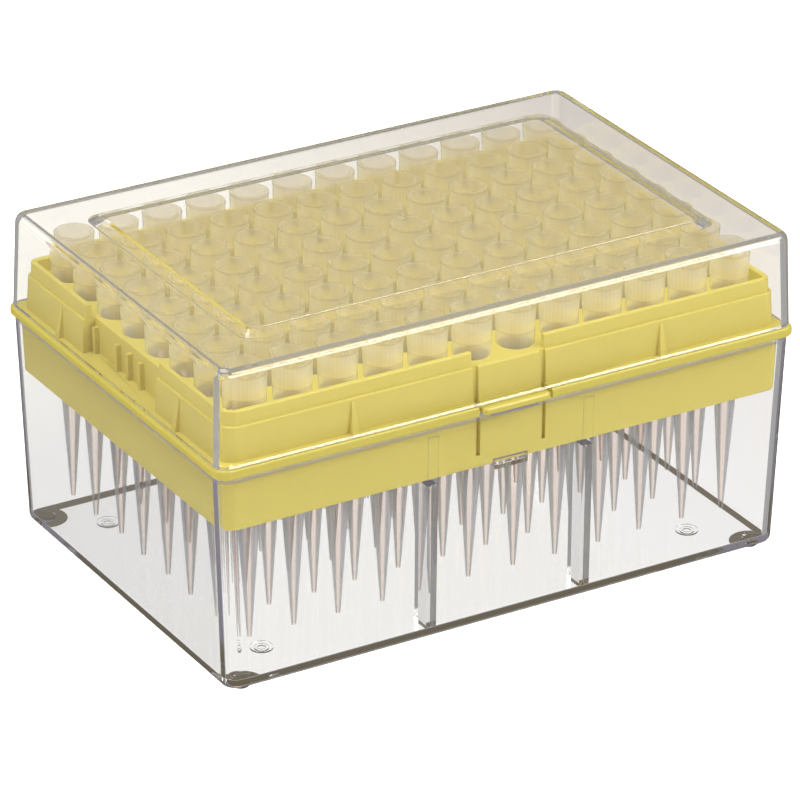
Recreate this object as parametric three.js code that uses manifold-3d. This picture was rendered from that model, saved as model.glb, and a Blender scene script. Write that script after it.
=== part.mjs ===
// Rack of 200 microlitre pipette tips: a clear base, a coloured rack that drops into it,
// 96 hollow tips standing in the rack, and a clear lid. Units are millimetres, +Z up,
// the long side lies along X and the latch faces -Y.
import * as THREE from 'three';
import Module from 'manifold-3d';
import { mergeVertices } from 'three/addons/utils/BufferGeometryUtils.js';

const wasm = await Module();
wasm.setup();

// ---- Driving dimensions ------------------------------------------------------------------

// Tip array
const columns = 12;
const rows = 8;
const pitch = 9;
const looseRows = 4;          // front rows whose tips are pieces of their own
const tipSides = 6;

// One tip, measured from the shoulder that rests on the rack's plate
const collarHeight = 7.7;
const collarTopRadius = 3.7;
const collarBaseRadius = 3.45;
const neckRadius = 2.9;
const bodyLength = 44.2;
const bendRadius = 1.85;
const bendHeight = 20.8;      // above the tip's end
const endRadius = 0.42;
const mouthRadius = 2.6;
const orificeRadius = 0.22;
const holeClearance = 0.25;

// Rack: upper wall, plate, rim, flange and skirt
const endMargin = 6.9;        // outer column's axis to the upper wall's outside
const sideMargin = 5.7;
const wallCornerRadius = 2.2;
const wallThickness = 1.5;
const upperWallHeight = 6.5;  // flange top to plate top
const upperWallDraft = 0.3;
const plateThickness = 1.4;
const rimHeight = 2.7;
const rimInset = 0.5;
const rimThickness = 1.1;
const rimDraft = 0.1;
const flangeThickness = 1.9;
const flangeEdge = 0.35;
const flangeCornerRadius = 2.5;
const skirtDepth = 10.8;
const skirtGap = 0.3;
const skirtCornerRadius = 1.8;

// Grip recess with ribs in the left end, and tapered lid guides around the upper wall
const recessLength = 27.2;
const recessDepth = 2.3;
const recessWall = 1;
const gripRibOffsets = [-12.6, -4.3, 0, 4.3, 12.6];
const gripRibWidth = 0.85;
const gripRibDepth = 0.9;
const gripRibDrop = 1.4;      // plate top down to the rib's top
const guideSideOffset = 31.6;
const guideEndOffset = 21.8;
const guideWidth = 0.9;
const guideRoom = 1.15;       // upper wall to the lid's inside
const guideGap = 0.15;
const guideTopDrop = 0.6;
const guideTopReach = 0.15;

// Latch: a block and a lip in the front wall, and the springy tongue that hangs below them
const latchWidth = 12.7;
const blockSlot = 1.1;
const slotDepth = 2.6;
const lipWidth = 13.8;
const lipThickness = 1.3;
const lipCornerRadius = 0.9;
const lipEdge = 0.4;
const lipReach = 0.8;         // past the flange's front edge
const flangeBreak = 0.6;
const tongueSlot = 1.4;
const tongueBridge = 2.3;
const tongueWall = 1.1;

// Making the solids
const rootOverlap = 0.3;      // how far a joined feature reaches into what carries it
const over = 1;               // how far a cut runs past what it cuts
const seatGap = 0.01;         // between faces that rest on each other

// Base
const feetHeight = 0.8;
const footRadius = 1.8;
const footEndInset = 4;
const footSideInset = 3.2;
const baseHeight = 41.8;      // underside to rim, without the feet
const baseWall = 1.6;
const baseFloor = 1.9;
const baseInset = 0.5;        // flange edge to the base's rim
const baseEndDraft = 1.6;     // how far the end walls lean in over the whole height
const baseSideDraft = 0.5;
const baseCornerRadius = 3;
const baseEdgeRadius = 1.8;
const stiffenerOffset = 16;
const stiffenerWidth = 2.1;
const stiffenerDepth = 4.3;
const stiffenerDrop = 1.1;    // skirt bottom down to the stiffener's top
const rimNotchWidth = 9.8;
const rimNotchDepth = 1.4;
const catchWidth = 6.9;
const catchDepth = 0.9;
const catchHeight = 2.2;
const catchRise = 0.7;        // tongue's end up to the catch's top
const catchClearance = 0.2;
const gateRingRadius = 2.1;
const gateRingBore = 1.3;
const gateRingHeight = 0.3;
const gateRingEndInset = 12.5;
const gateRingSideInset = 11.6;

// Lid
const lidHeight = 18.2;       // flange top to the lid's flat margin
const lidWall = 1.4;
const lidRoof = 1.4;
const lidInset = 0.4;         // flange edge to the lid's lower edge
const lidDraft = 0.6;
const lidCornerRadius = 2.6;
const lidEdgeRadius = 1.8;
const panelHeight = 0.9;
const panelEndInset = 9.7;
const panelSideInset = 9.3;
const panelSlope = 1.9;
const panelCornerRadius = 3;

// ---- Heights and half sizes that follow ----------------------------------------------------

const baseTop = feetHeight + baseHeight;
const flangeTop = baseTop + flangeThickness;
const plateTop = flangeTop + upperWallHeight;
const rimTop = plateTop + rimHeight;
const skirtBottom = baseTop - skirtDepth;
const floorTop = feetHeight + baseFloor;
const lidTop = flangeTop + lidHeight;

const upperWall = {
  x: (columns - 1) * pitch / 2 + endMargin,
  y: (rows - 1) * pitch / 2 + sideMargin,
};
const grow = (size, by) => ({ x: size.x + by, y: size.y + by });
const lidInside = grow(upperWall, guideRoom);
const lidFoot = grow(lidInside, lidWall);
const flange = grow(lidFoot, lidInset);
const baseRim = grow(flange, -baseInset);
const lean = (size, share) => ({ x: size.x - baseEndDraft * share, y: size.y - baseSideDraft * share });
const baseInside = (z) => lean(grow(baseRim, -baseWall), (baseTop - z) / baseHeight);

// ---- Solids --------------------------------------------------------------------------------

// A three.js geometry as a solid that can be cut and joined.
function solid(geometry) {
  const plain = geometry.clone();
  plain.deleteAttribute('normal');
  plain.deleteAttribute('uv');
  const merged = mergeVertices(plain.index ? plain : mergeVertices(plain), 1e-5);
  return new wasm.Manifold(new wasm.Mesh({
    numProp: 3,
    vertProperties: new Float32Array(merged.attributes.position.array),
    triVerts: new Uint32Array(merged.index.array),
  }));
}

// A solid as a named mesh.
function mesh(name, body, material) {
  const result = body.getMesh();
  const geometry = new THREE.BufferGeometry();
  geometry.setAttribute('position', new THREE.BufferAttribute(result.vertProperties, 3));
  geometry.setIndex(new THREE.BufferAttribute(result.triVerts, 1));
  geometry.computeVertexNormals();
  const part = new THREE.Mesh(geometry, material);
  part.name = name;
  return part;
}

// A box between two corners.
function block(low, high) {
  const size = high.map((value, axis) => value - low[axis]);
  const geometry = new THREE.BoxGeometry(...size);
  geometry.translate(...low.map((value, axis) => value + size[axis] / 2));
  return solid(geometry);
}

// Rounded rectangles of half size x by y, one at each level z, joined by straight walls.
// Every level has the same number of points, so the walls may lean and the edges may round.
// The centre is the middle's y.
const cornerSteps = 3;
function tub(levels, centre = 0) {
  const ring = 4 * (cornerSteps + 1);
  const positions = [];
  const faces = [];
  for (const { x, y, r, z } of levels) {
    for (let i = 0; i < ring; i++) {
      const corner = Math.floor(i / (cornerSteps + 1));
      const angle = (corner + (i % (cornerSteps + 1)) / cornerSteps) * Math.PI / 2;
      const sideX = corner === 0 || corner === 3 ? 1 : -1;
      const sideY = corner < 2 ? 1 : -1;
      positions.push(sideX * (x - r) + r * Math.cos(angle));
      positions.push(centre + sideY * (y - r) + r * Math.sin(angle), z);
    }
  }
  const last = (levels.length - 1) * ring;
  for (let level = 0; level < levels.length - 1; level++) {
    for (let i = 0; i < ring; i++) {
      const a = level * ring + i;
      const b = level * ring + (i + 1) % ring;
      faces.push(a, b, b + ring, a, b + ring, a + ring);
    }
  }
  for (let i = 1; i < ring - 1; i++) {
    faces.push(0, i + 1, i, last, last + i, last + i + 1);
  }
  const geometry = new THREE.BufferGeometry();
  geometry.setAttribute('position', new THREE.Float32BufferAttribute(positions, 3));
  geometry.setIndex(faces);
  return solid(geometry);
}

// One level of a tub: a half size grown by an amount, at a height, with a corner radius.
const level = (size, by, z, r) => ({ ...grow(size, by), z, r });

// A straight bar from x = low to x = high, with a section of [y, z] points.
function rail(section, low, high) {
  const shape = new THREE.Shape(section.map(([y, z]) => new THREE.Vector2(y, z)));
  const geometry = new THREE.ExtrudeGeometry(shape, { depth: high - low, bevelEnabled: false });
  geometry.rotateY(Math.PI / 2);
  geometry.rotateX(Math.PI / 2);
  geometry.translate(low, 0, 0);
  return solid(geometry);
}

// A closed profile of [radius, height] points turned about the vertical axis through x, y.
function turned(profile, sides, x, y) {
  const points = [...profile, profile[0]].map(([radius, height]) => new THREE.Vector2(radius, height));
  const geometry = new THREE.LatheGeometry(points, sides);
  geometry.rotateX(Math.PI / 2);
  geometry.translate(x, y, 0);
  return solid(geometry);
}

// An upright round bar.
function bar(radius, low, high, x, y, sides) {
  const geometry = new THREE.CylinderGeometry(radius, radius, high - low, sides);
  geometry.rotateX(Math.PI / 2);
  geometry.translate(x, y, (low + high) / 2);
  return solid(geometry);
}

const join = (bodies) => bodies.reduce((whole, body) => whole.add(body));
const fourCorners = [[1, 1], [-1, 1], [-1, -1], [1, -1]];

// ---- Base ----------------------------------------------------------------------------------

const underside = lean(baseRim, 1);
const footSides = 10;

function baseShell() {
  const round = baseEdgeRadius;
  const bevel = round * (1 - Math.SQRT1_2);
  const outside = tub([
    level(underside, -round, feetHeight, baseCornerRadius - round),
    level(underside, -bevel, feetHeight + bevel, baseCornerRadius - bevel),
    level(underside, 0, feetHeight + round, baseCornerRadius),
    level(baseRim, 0, baseTop - seatGap, baseCornerRadius),
  ]);
  const innerRadius = baseCornerRadius - baseWall;
  const inside = tub([
    level(baseInside(floorTop), 0, floorTop, innerRadius),
    level(baseInside(baseTop), 0, baseTop, innerRadius),
  ]);
  return outside.subtract(inside);
}

// Solid ribs on the inside of both long walls, up to just under the rack's skirt.
function stiffeners() {
  const top = skirtBottom - stiffenerDrop;
  const foot = baseInside(floorTop).y;
  const wall = baseInside(top).y;
  const half = stiffenerWidth / 2;
  const bodies = [];
  for (const side of [-1, 1]) {
    for (const x of [-stiffenerOffset, stiffenerOffset]) {
      const y = [side * (wall - stiffenerDepth), side * (foot + baseWall / 2)];
      bodies.push(block([x - half, Math.min(...y), floorTop - rootOverlap], [x + half, Math.max(...y), top]));
    }
  }
  return join(bodies);
}

// The bump inside the front wall that the latch's tongue snaps over, sloping back below.
function catchLedge() {
  const top = skirtBottom + catchRise;
  const wall = -baseInside(skirtBottom).y;
  const section = [
    [wall - rootOverlap, top],
    [wall - rootOverlap, top - catchHeight],
    [wall + catchDepth, top - catchHeight / 2],
    [wall + catchDepth, top],
  ];
  return rail(section, -catchWidth / 2, catchWidth / 2);
}

function feet() {
  const x = underside.x - footEndInset;
  const y = underside.y - footSideInset;
  return join(fourCorners.map(([sx, sy]) =>
    bar(footRadius, 0, feetHeight + baseFloor / 2, sx * x, sy * y, footSides)));
}

// Low rings under the floor.
function gateRings() {
  const x = underside.x - gateRingEndInset;
  const y = underside.y - gateRingSideInset;
  const low = feetHeight - gateRingHeight;
  const high = feetHeight + rootOverlap;
  const profile = [[gateRingBore, low], [gateRingRadius, low], [gateRingRadius, high], [gateRingBore, high]];
  return join(fourCorners.map(([sx, sy]) => turned(profile, footSides, sx * x, sy * y)));
}

function base() {
  const notch = block([-rimNotchWidth / 2, -baseRim.y - over, baseTop - rimNotchDepth],
    [rimNotchWidth / 2, -baseInside(baseTop).y + over, baseTop + over]);
  return join([baseShell(), stiffeners(), catchLedge(), feet(), gateRings()]).subtract(notch);
}

// ---- Lid -----------------------------------------------------------------------------------

function lid() {
  const top = grow(lidFoot, -lidDraft);
  const round = lidEdgeRadius;
  const bevel = round * (1 - Math.SQRT1_2);
  const outside = tub([
    level(lidFoot, 0, flangeTop, lidCornerRadius),
    level(top, 0, lidTop - round, lidCornerRadius),
    level(top, -bevel, lidTop - bevel, lidCornerRadius - bevel),
    level(top, -round, lidTop, lidCornerRadius - round),
  ]);
  const innerRadius = lidCornerRadius - lidWall;
  const panel = { x: top.x - panelEndInset, y: top.y - panelSideInset };
  const raised = tub([
    level(panel, 0, lidTop - rootOverlap, panelCornerRadius),
    level(panel, 0, lidTop, panelCornerRadius),
    level(panel, -panelSlope, lidTop + panelHeight, panelCornerRadius),
  ]);
  const ceiling = lidTop - lidRoof;
  const inside = tub([
    level(lidInside, 0, flangeTop - over, innerRadius),
    level(lidInside, 0, flangeTop, innerRadius),
    level(top, -lidWall, ceiling, innerRadius),
  ]);
  const pocket = tub([
    level(panel, 0, ceiling - rootOverlap, panelCornerRadius),
    level(panel, 0, ceiling, panelCornerRadius),
    level(panel, -panelSlope, ceiling + panelHeight, panelCornerRadius),
  ]);
  return outside.add(raised).subtract(inside).subtract(pocket);
}

// ---- Tips ----------------------------------------------------------------------------------

const tipRim = plateTop + collarHeight;
const tipEnd = plateTop - bodyLength;

// Outside of a tip from its end up, then the bore back down.
function tipProfile() {
  return [
    [orificeRadius, tipEnd],
    [endRadius, tipEnd],
    [bendRadius, tipEnd + bendHeight],
    [neckRadius, plateTop],
    [collarBaseRadius, plateTop],
    [collarTopRadius, tipRim],
    [mouthRadius, tipRim],
  ];
}

// The same tip moulded in one with the rack, its collar and neck reaching into the plate.
function fusedTipProfile() {
  return [
    [orificeRadius, tipEnd],
    [endRadius, tipEnd],
    [bendRadius, tipEnd + bendHeight],
    [neckRadius, plateTop - plateThickness],
    [collarBaseRadius, plateTop - plateThickness / 2],
    [collarTopRadius, tipRim],
    [mouthRadius, tipRim],
  ];
}

const columnX = (column) => (column - (columns - 1) / 2) * pitch;
const rowY = (row) => (row - (rows - 1) / 2) * pitch;

// ---- Rack ----------------------------------------------------------------------------------

function rackShell() {
  const stepSize = grow(upperWall, -upperWallDraft);
  const rimSize = grow(stepSize, -rimInset);
  const rimRadius = wallCornerRadius - rimInset;
  const upper = tub([
    level(upperWall, 0, flangeTop - rootOverlap, wallCornerRadius),
    level(upperWall, 0, flangeTop, wallCornerRadius),
    level(stepSize, 0, plateTop, wallCornerRadius),
  ]);
  const rim = tub([
    level(rimSize, 0, plateTop - rootOverlap, rimRadius),
    level(rimSize, 0, plateTop, rimRadius),
    level(rimSize, -rimDraft, rimTop, rimRadius),
  ]);
  const tray = tub([
    level(rimSize, -rimThickness, plateTop, rimRadius - rimThickness),
    level(rimSize, -rimThickness, rimTop + over, rimRadius - rimThickness),
  ]);
  const edge = flangeEdge;
  const collar = tub([
    level(flange, -edge, baseTop, flangeCornerRadius),
    level(flange, 0, baseTop + edge, flangeCornerRadius),
    level(flange, 0, flangeTop - edge, flangeCornerRadius),
    level(flange, -edge, flangeTop, flangeCornerRadius),
  ]);
  const skirt = tub([
    level(baseInside(skirtBottom), -skirtGap, skirtBottom, skirtCornerRadius),
    level(baseInside(baseTop), -skirtGap, baseTop, skirtCornerRadius),
    level(baseInside(baseTop), -skirtGap, baseTop + rootOverlap, skirtCornerRadius),
  ]);
  const innerRadius = wallCornerRadius - wallThickness;
  const inside = tub([
    level(baseInside(skirtBottom), -skirtGap - wallThickness, skirtBottom - over, innerRadius),
    level(baseInside(skirtBottom), -skirtGap - wallThickness, skirtBottom, innerRadius),
    level(upperWall, -wallThickness, flangeTop, innerRadius),
    level(stepSize, -wallThickness, plateTop - plateThickness, innerRadius),
  ]);
  return join([upper, rim, collar, skirt]).subtract(tray).subtract(inside);
}

// The recess in the left end: a pocket through wall and rim, a wall behind it, and its ribs.
function gripRecess(rack) {
  const face = -(upperWall.x - upperWallDraft);
  const back = face + recessDepth;
  const half = recessLength / 2;
  const backing = block([face + rootOverlap, -half - wallThickness, baseTop],
    [back + recessWall, half + wallThickness, plateTop - rootOverlap]);
  const pocket = block([-flange.x - over, -half, flangeTop], [back, half, rimTop + over]);
  const ribs = gripRibOffsets.map((y) => block(
    [back - gripRibDepth, y - gripRibWidth / 2, flangeTop - rootOverlap],
    [back + rootOverlap, y + gripRibWidth / 2, plateTop - gripRibDrop]));
  return rack.add(backing).subtract(pocket).add(join(ribs));
}

// A tapered guide: almost nothing at the top, reaching almost to the lid's inside at the flange.
function guide(length, along) {
  const reach = guideRoom - guideGap;
  const height = upperWallHeight - guideTopDrop;
  const root = -rootOverlap - upperWallDraft;
  const shape = new THREE.Shape([
    new THREE.Vector2(root, -rootOverlap),
    new THREE.Vector2(reach, -rootOverlap),
    new THREE.Vector2(reach, 0),
    new THREE.Vector2(guideTopReach - upperWallDraft, height),
    new THREE.Vector2(root, height),
  ]);
  const geometry = new THREE.ExtrudeGeometry(shape, { depth: guideWidth, bevelEnabled: false });
  geometry.translate(0, 0, -guideWidth / 2);
  geometry.rotateX(Math.PI / 2);
  geometry.translate(length, 0, flangeTop);
  geometry.rotateZ(along);
  return geometry;
}

function guides() {
  const bodies = [];
  for (const side of [1, -1]) {
    const turn = side === 1 ? 0 : Math.PI;
    for (const offset of [-guideEndOffset, guideEndOffset]) {
      bodies.push(solid(guide(upperWall.x, turn).translate(0, offset, 0)));
    }
    for (const offset of [-guideSideOffset, guideSideOffset]) {
      bodies.push(solid(guide(upperWall.y, turn + Math.PI / 2).translate(offset, 0, 0)));
    }
  }
  return join(bodies);
}

// Slots free the latch from the front wall; its lip stands out past the flange.
function latch(rack) {
  const half = latchWidth / 2;
  const wallFace = -upperWall.y;
  const front = -flange.y - lipReach;
  const breakHalf = Math.max(lipWidth / 2, half) + flangeBreak;
  const cutFront = -flange.y - over;
  const rimGap = block([-half - blockSlot, cutFront, plateTop],
    [half + blockSlot, wallFace + upperWallDraft + rimInset + rimThickness + rimDraft, rimTop + over]);
  const flangeGap = block([-breakHalf, cutFront, baseTop - over], [breakHalf, wallFace, flangeTop + over]);
  const slots = [];
  for (const side of [-1, 1]) {
    const upperSlot = [side * half, side * (half + blockSlot)];
    slots.push(block([Math.min(...upperSlot), cutFront, flangeTop],
      [Math.max(...upperSlot), wallFace + slotDepth, rimTop + over]));
    const lowerSlot = [side * half, side * (half + tongueSlot)];
    slots.push(block([Math.min(...lowerSlot), cutFront, skirtBottom + tongueBridge],
      [Math.max(...lowerSlot), wallFace + slotDepth, flangeTop + rootOverlap]));
  }
  const lipTop = flangeTop - flangeEdge;
  const lipBack = wallFace + tongueWall;
  const lipSize = { x: lipWidth / 2, y: (lipBack - front) / 2 };
  const lip = tub([
    level(lipSize, -lipEdge, lipTop - lipThickness, lipCornerRadius - lipEdge),
    level(lipSize, 0, lipTop - lipThickness + lipEdge, lipCornerRadius),
    level(lipSize, 0, lipTop - lipEdge, lipCornerRadius),
    level(lipSize, -lipEdge, lipTop, lipCornerRadius - lipEdge),
  ], (lipBack + front) / 2);
  const skirtFace = -(baseInside(baseTop).y - skirtGap);
  const bridge = block([-half, skirtFace, skirtBottom + tongueBridge],
    [half, wallFace + tongueWall, flangeTop]);
  const catchHalf = catchWidth / 2 + catchClearance;
  const catchPocket = block([-catchHalf, cutFront, skirtBottom - over],
    [catchHalf, catchDepth + catchClearance - baseInside(skirtBottom).y,
      skirtBottom + catchRise + catchClearance]);
  return rack.subtract(flangeGap).subtract(join(slots)).subtract(rimGap).add(bridge).add(lip)
    .subtract(catchPocket);
}

function rack() {
  const body = latch(gripRecess(rackShell()).add(guides()));
  const holes = [];
  const fused = [];
  for (let row = 0; row < rows; row++) {
    const loose = row < looseRows;
    const radius = loose ? neckRadius + holeClearance : (neckRadius + mouthRadius) / 2;
    for (let column = 0; column < columns; column++) {
      const x = columnX(column);
      const y = rowY(row);
      holes.push(bar(radius, plateTop - plateThickness - over, plateTop + over, x, y, tipSides));
      if (!loose) {
        fused.push(turned(fusedTipProfile(), tipSides, x, y));
      }
    }
  }
  return body.subtract(join(holes)).add(join(fused));
}

// ---- Assembly ------------------------------------------------------------------------------

const clearPlastic = new THREE.MeshStandardMaterial({
  color: 0xe9e7e4, roughness: 0.08, metalness: 0, transparent: true, opacity: 0.3,
});
const rackPlastic = new THREE.MeshStandardMaterial({ color: 0xe6dc78, roughness: 0.45, metalness: 0 });
const tipPlastic = new THREE.MeshStandardMaterial({
  color: 0xdcd9d6, roughness: 0.3, metalness: 0, transparent: true, opacity: 0.6,
});

const group = new THREE.Group();
group.add(mesh('base', base(), clearPlastic));
group.add(mesh('rack', rack(), rackPlastic));
for (let row = 0; row < looseRows; row++) {
  const letter = String.fromCharCode(97 + rows - 1 - row);
  for (let column = 0; column < columns; column++) {
    const number = String(column + 1).padStart(2, '0');
    const tip = mesh(`tip_${letter}${number}`, turned(tipProfile(), tipSides, 0, 0), tipPlastic);
    tip.position.set(columnX(column), rowY(row), 0);
    group.add(tip);
  }
}
group.add(mesh('lid', lid(), clearPlastic));

// The lip stands out in front, so the whole part moves back by half of that.
group.position.set(0, lipReach / 2, 0);

export default group;
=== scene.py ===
# %% [markdown]
# # A box of pipette tips
# A clear box holds a yellow rack, the rack holds 96 hollow tips, and a clear lid covers them.
# This lesson dresses a packed construction model, the frame, whose nodes give every size and
# place. Three ideas carry it: clear shells made by lofting one profile, a moulded rack cut
# with booleans, and tips repeated by Geometry Nodes.

# %% Load the frame and name the sizes that it gives
import math

import bpy
import bmesh
from mathutils import Matrix, Quaternion, Vector


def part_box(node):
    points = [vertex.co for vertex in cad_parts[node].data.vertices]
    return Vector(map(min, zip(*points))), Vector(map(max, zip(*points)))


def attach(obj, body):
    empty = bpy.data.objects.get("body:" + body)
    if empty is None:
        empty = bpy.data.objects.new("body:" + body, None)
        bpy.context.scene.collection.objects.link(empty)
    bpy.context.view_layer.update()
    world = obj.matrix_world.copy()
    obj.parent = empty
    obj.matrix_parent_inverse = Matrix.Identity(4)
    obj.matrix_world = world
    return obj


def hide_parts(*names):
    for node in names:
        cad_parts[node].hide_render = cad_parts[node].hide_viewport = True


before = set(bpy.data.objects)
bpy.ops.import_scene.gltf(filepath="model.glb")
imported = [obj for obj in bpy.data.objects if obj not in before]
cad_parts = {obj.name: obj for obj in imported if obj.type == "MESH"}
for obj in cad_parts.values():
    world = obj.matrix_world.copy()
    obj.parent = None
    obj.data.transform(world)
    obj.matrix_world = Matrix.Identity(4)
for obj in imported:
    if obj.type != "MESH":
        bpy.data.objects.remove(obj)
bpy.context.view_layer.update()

MM = 0.001


def node_box(node):
    """Lowest and highest corner of a node, in millimetres."""
    low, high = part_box(node)
    return low / MM, high / MM


base_low, base_high = node_box("base")
rack_low, rack_high = node_box("rack")
lid_low, lid_high = node_box("lid")
first_low, first_high = node_box("tip_h01")
last_low, _ = node_box("tip_e12")

COLUMNS = 12
ROWS = 8
LOOSE_ROWS = 4
MIDDLE_Y = (base_low.y + base_high.y) / 2
SEAT_GAP = 0.01
BASE_TOP = base_high.z + SEAT_GAP
FLANGE_TOP = lid_low.z
TIP_END = first_low.z
TIP_RIM = first_high.z
PITCH = (last_low.x - first_low.x) / (COLUMNS - 1)
FIRST_X = (first_low.x + first_high.x) / 2
FIRST_Y = (first_low.y + first_high.y) / 2
COLLAR_HEIGHT = 7.7
PLATE_TOP = TIP_RIM - COLLAR_HEIGHT
BODY_LENGTH = PLATE_TOP - TIP_END
BASE_LEAN = Vector((1.6, 0.5))     # how far the base's end and side walls lean in
print(f"pitch {PITCH:.2f} mm, flange top {FLANGE_TOP:.2f} mm, middle y {MIDDLE_Y:.2f} mm")

# %% [markdown]
# The camera comes first, so that every later choice can be judged through it. A long lens far
# away keeps the box's edges almost parallel, as in a catalogue picture.

# %% Camera
VIEW_AZIMUTH = math.radians(-30.69)
VIEW_ELEVATION = math.radians(26.06)
VIEW_ROLL = math.radians(0.33)
VIEW_DISTANCE = 0.9855
VIEW_TARGET = Vector((0.0027, 0.00473, 0.02459))
back = Vector((
    math.sin(VIEW_AZIMUTH) * math.cos(VIEW_ELEVATION),
    -math.cos(VIEW_AZIMUTH) * math.cos(VIEW_ELEVATION),
    math.sin(VIEW_ELEVATION),
))
camera_data = bpy.data.cameras.new("catalogue_camera")
camera_data.sensor_width = 36
camera_data.lens = 242.3
camera = bpy.data.objects.new("catalogue_camera", camera_data)
camera.location = VIEW_TARGET + back * VIEW_DISTANCE
camera.rotation_euler = (back.to_track_quat("Z", "Y") @ Quaternion((0, 0, 1), VIEW_ROLL)).to_euler()
bpy.context.scene.collection.objects.link(camera)
bpy.context.scene.camera = camera
print("camera at", [round(value, 3) for value in camera.location])

# %% [markdown]
# Node trees read best as sums. This small class wraps a socket, and an expression on it adds
# the Math nodes, so that the maths of a finish can be read in one line.

# %% Sums of sockets
def feed(tree, socket, value):
    """Link a wrapped output to a socket, or set the socket to a plain value."""
    if isinstance(value, Output):
        tree.links.new(value.socket, socket)
    else:
        socket.default_value = value


class Output:
    """One output socket that can be used in sums and comparisons."""

    def __init__(self, tree, socket):
        self.tree = tree
        self.socket = socket

    def math(self, operation, *values):
        node = self.tree.nodes.new("ShaderNodeMath")
        node.operation = operation
        for socket, value in zip(node.inputs, values):
            feed(self.tree, socket, value)
        return Output(self.tree, node.outputs[0])

    def __add__(self, other):
        return self.math("ADD", self, other)

    __radd__ = __add__

    def __mul__(self, other):
        return self.math("MULTIPLY", self, other)

    __rmul__ = __mul__

    def __sub__(self, other):
        return self.math("SUBTRACT", self, other)

    def __rsub__(self, other):
        return self.math("SUBTRACT", other, self)

    def __pow__(self, other):
        return self.math("POWER", self, other)

    def __abs__(self):
        return self.math("ABSOLUTE", self)

    def __lt__(self, other):
        return self.math("LESS_THAN", self, other)

    def __gt__(self, other):
        return self.math("GREATER_THAN", self, other)


def larger(first, second):
    return first.math("MAXIMUM", first, second)

# %% [markdown]
# Every other node comes from one method, which sets the node's settings first and then its
# inputs. Materials, the world and the Geometry Nodes trees are all wired with it.

# %% One method for every other node
def set_stops(elements, stops):
    """Set a ramp's colours. A stop's colour may be one number, which is a grey."""
    while len(elements) < len(stops):
        elements.new(0.5)
    for element, (position, tone) in zip(elements, stops):
        element.position = position
        element.color = tone if isinstance(tone, tuple) else (tone, tone, tone, 1)


class Wiring:
    """A node tree and one method that adds any node to it."""

    def __init__(self, tree):
        self.tree = tree

    def node(self, kind, output=0, settings=None, **values):
        """Add a node. Inputs are named in lower case with _ for a space, or input_0 by place."""
        made = self.tree.nodes.new(kind)
        for name, value in (settings or {}).items():
            if name == "stops":
                set_stops(made.color_ramp.elements, value)
            else:
                setattr(made, name, value)
        for name, value in values.items():
            if name.startswith("input_"):
                socket = made.inputs[int(name[6:])]
            else:
                socket = next(s for s in made.inputs
                              if s.enabled and s.name.lower().replace(" ", "_") == name)
            feed(self.tree, socket, value)
        return Output(self.tree, made.outputs[output])

# %% [markdown]
# All the finishes share a few habits, such as noise on Object coordinates, which stay with a
# piece when it moves, or a mix of two shaders. They are named here once.

# %% Finishes
class Finish(Wiring):
    """A material, or the world, and the tree that makes it."""

    def __init__(self, owner):
        owner.use_nodes = True
        super().__init__(owner.node_tree)
        self.owner = owner
        self.tree.nodes.clear()

    def ray(self, name):
        """What Cycles knows about the ray that it is following."""
        return self.node("ShaderNodeLightPath", output=name)

    def place(self, axis):
        """Where a point lies on the piece, in metres, along axis 0, 1 or 2."""
        return self.node("ShaderNodeSeparateXYZ", output=axis, vector=self.object_point())

    def object_point(self):
        return self.node("ShaderNodeTexCoord", output="Object")

    def noise(self, scale, detail=3.0):
        return self.node("ShaderNodeTexNoise", vector=self.object_point(), scale=scale, detail=detail)

    def glow(self, tone, strength=1.0):
        return self.node("ShaderNodeEmission", color=tone, strength=strength)

    def ramp(self, factor, stops):
        """Colours along a factor."""
        return self.node("ShaderNodeValToRGB", settings={"stops": stops}, input_0=factor)

    def blend(self, factor, first, second):
        """A colour between two others."""
        return self.node("ShaderNodeMix", output=2, settings={"data_type": "RGBA"},
                         input_0=factor, input_6=first, input_7=second)

    def mix(self, factor, first, second):
        """A shader between two others."""
        return self.node("ShaderNodeMixShader", input_0=factor, input_1=first, input_2=second)

    def let_light_through(self, seen, tint):
        """Lamps and scattered light pass straight through, tinted; other rays meet the surface."""
        air = self.node("ShaderNodeBsdfTransparent", color=tint)
        return self.mix(larger(self.ray("Is Shadow Ray"), self.ray("Is Diffuse Ray")), seen, air)

    def finish(self, surface, volume=None):
        kind = "World" if isinstance(self.owner, bpy.types.World) else "Material"
        end = self.tree.nodes.new(f"ShaderNodeOutput{kind}")
        feed(self.tree, end.inputs["Surface"], surface)
        if volume is not None:
            feed(self.tree, end.inputs["Volume"], volume)
        return self.owner

# %% [markdown]
# A clear box shows what surrounds it, so the studio matters more than usual. To the camera all
# around is white, as on a light table. What is seen through the plastic is white too, but
# greyer high above, and that is what the rounded edges bend into view as darker lines. What
# the plastic mirrors is dimmer, or its faces would veil the tips behind them.

# %% World
SKY_STOPS = [(0.0, (1.06, 1.055, 1.05, 1)), (0.35, 0.95), (0.6, (0.52, 0.50, 0.55, 1)),
             (0.8, (0.50, 0.49, 0.53, 1)), (1.0, 0.9)]
WHITE = (1, 1, 1, 1)
SOFT_LIGHT = (0.99, 1, 0.97, 1)
SOFT_STRENGTH = 0.42
MIRRORED_SKY = 0.12
MIRRORED_WITHIN = 0.4
world = bpy.data.worlds.new("studio")
bpy.context.scene.world = world
studio = Finish(world)


def sky_light(tone, strength):
    return studio.node("ShaderNodeBackground", color=tone, strength=strength)


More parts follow.
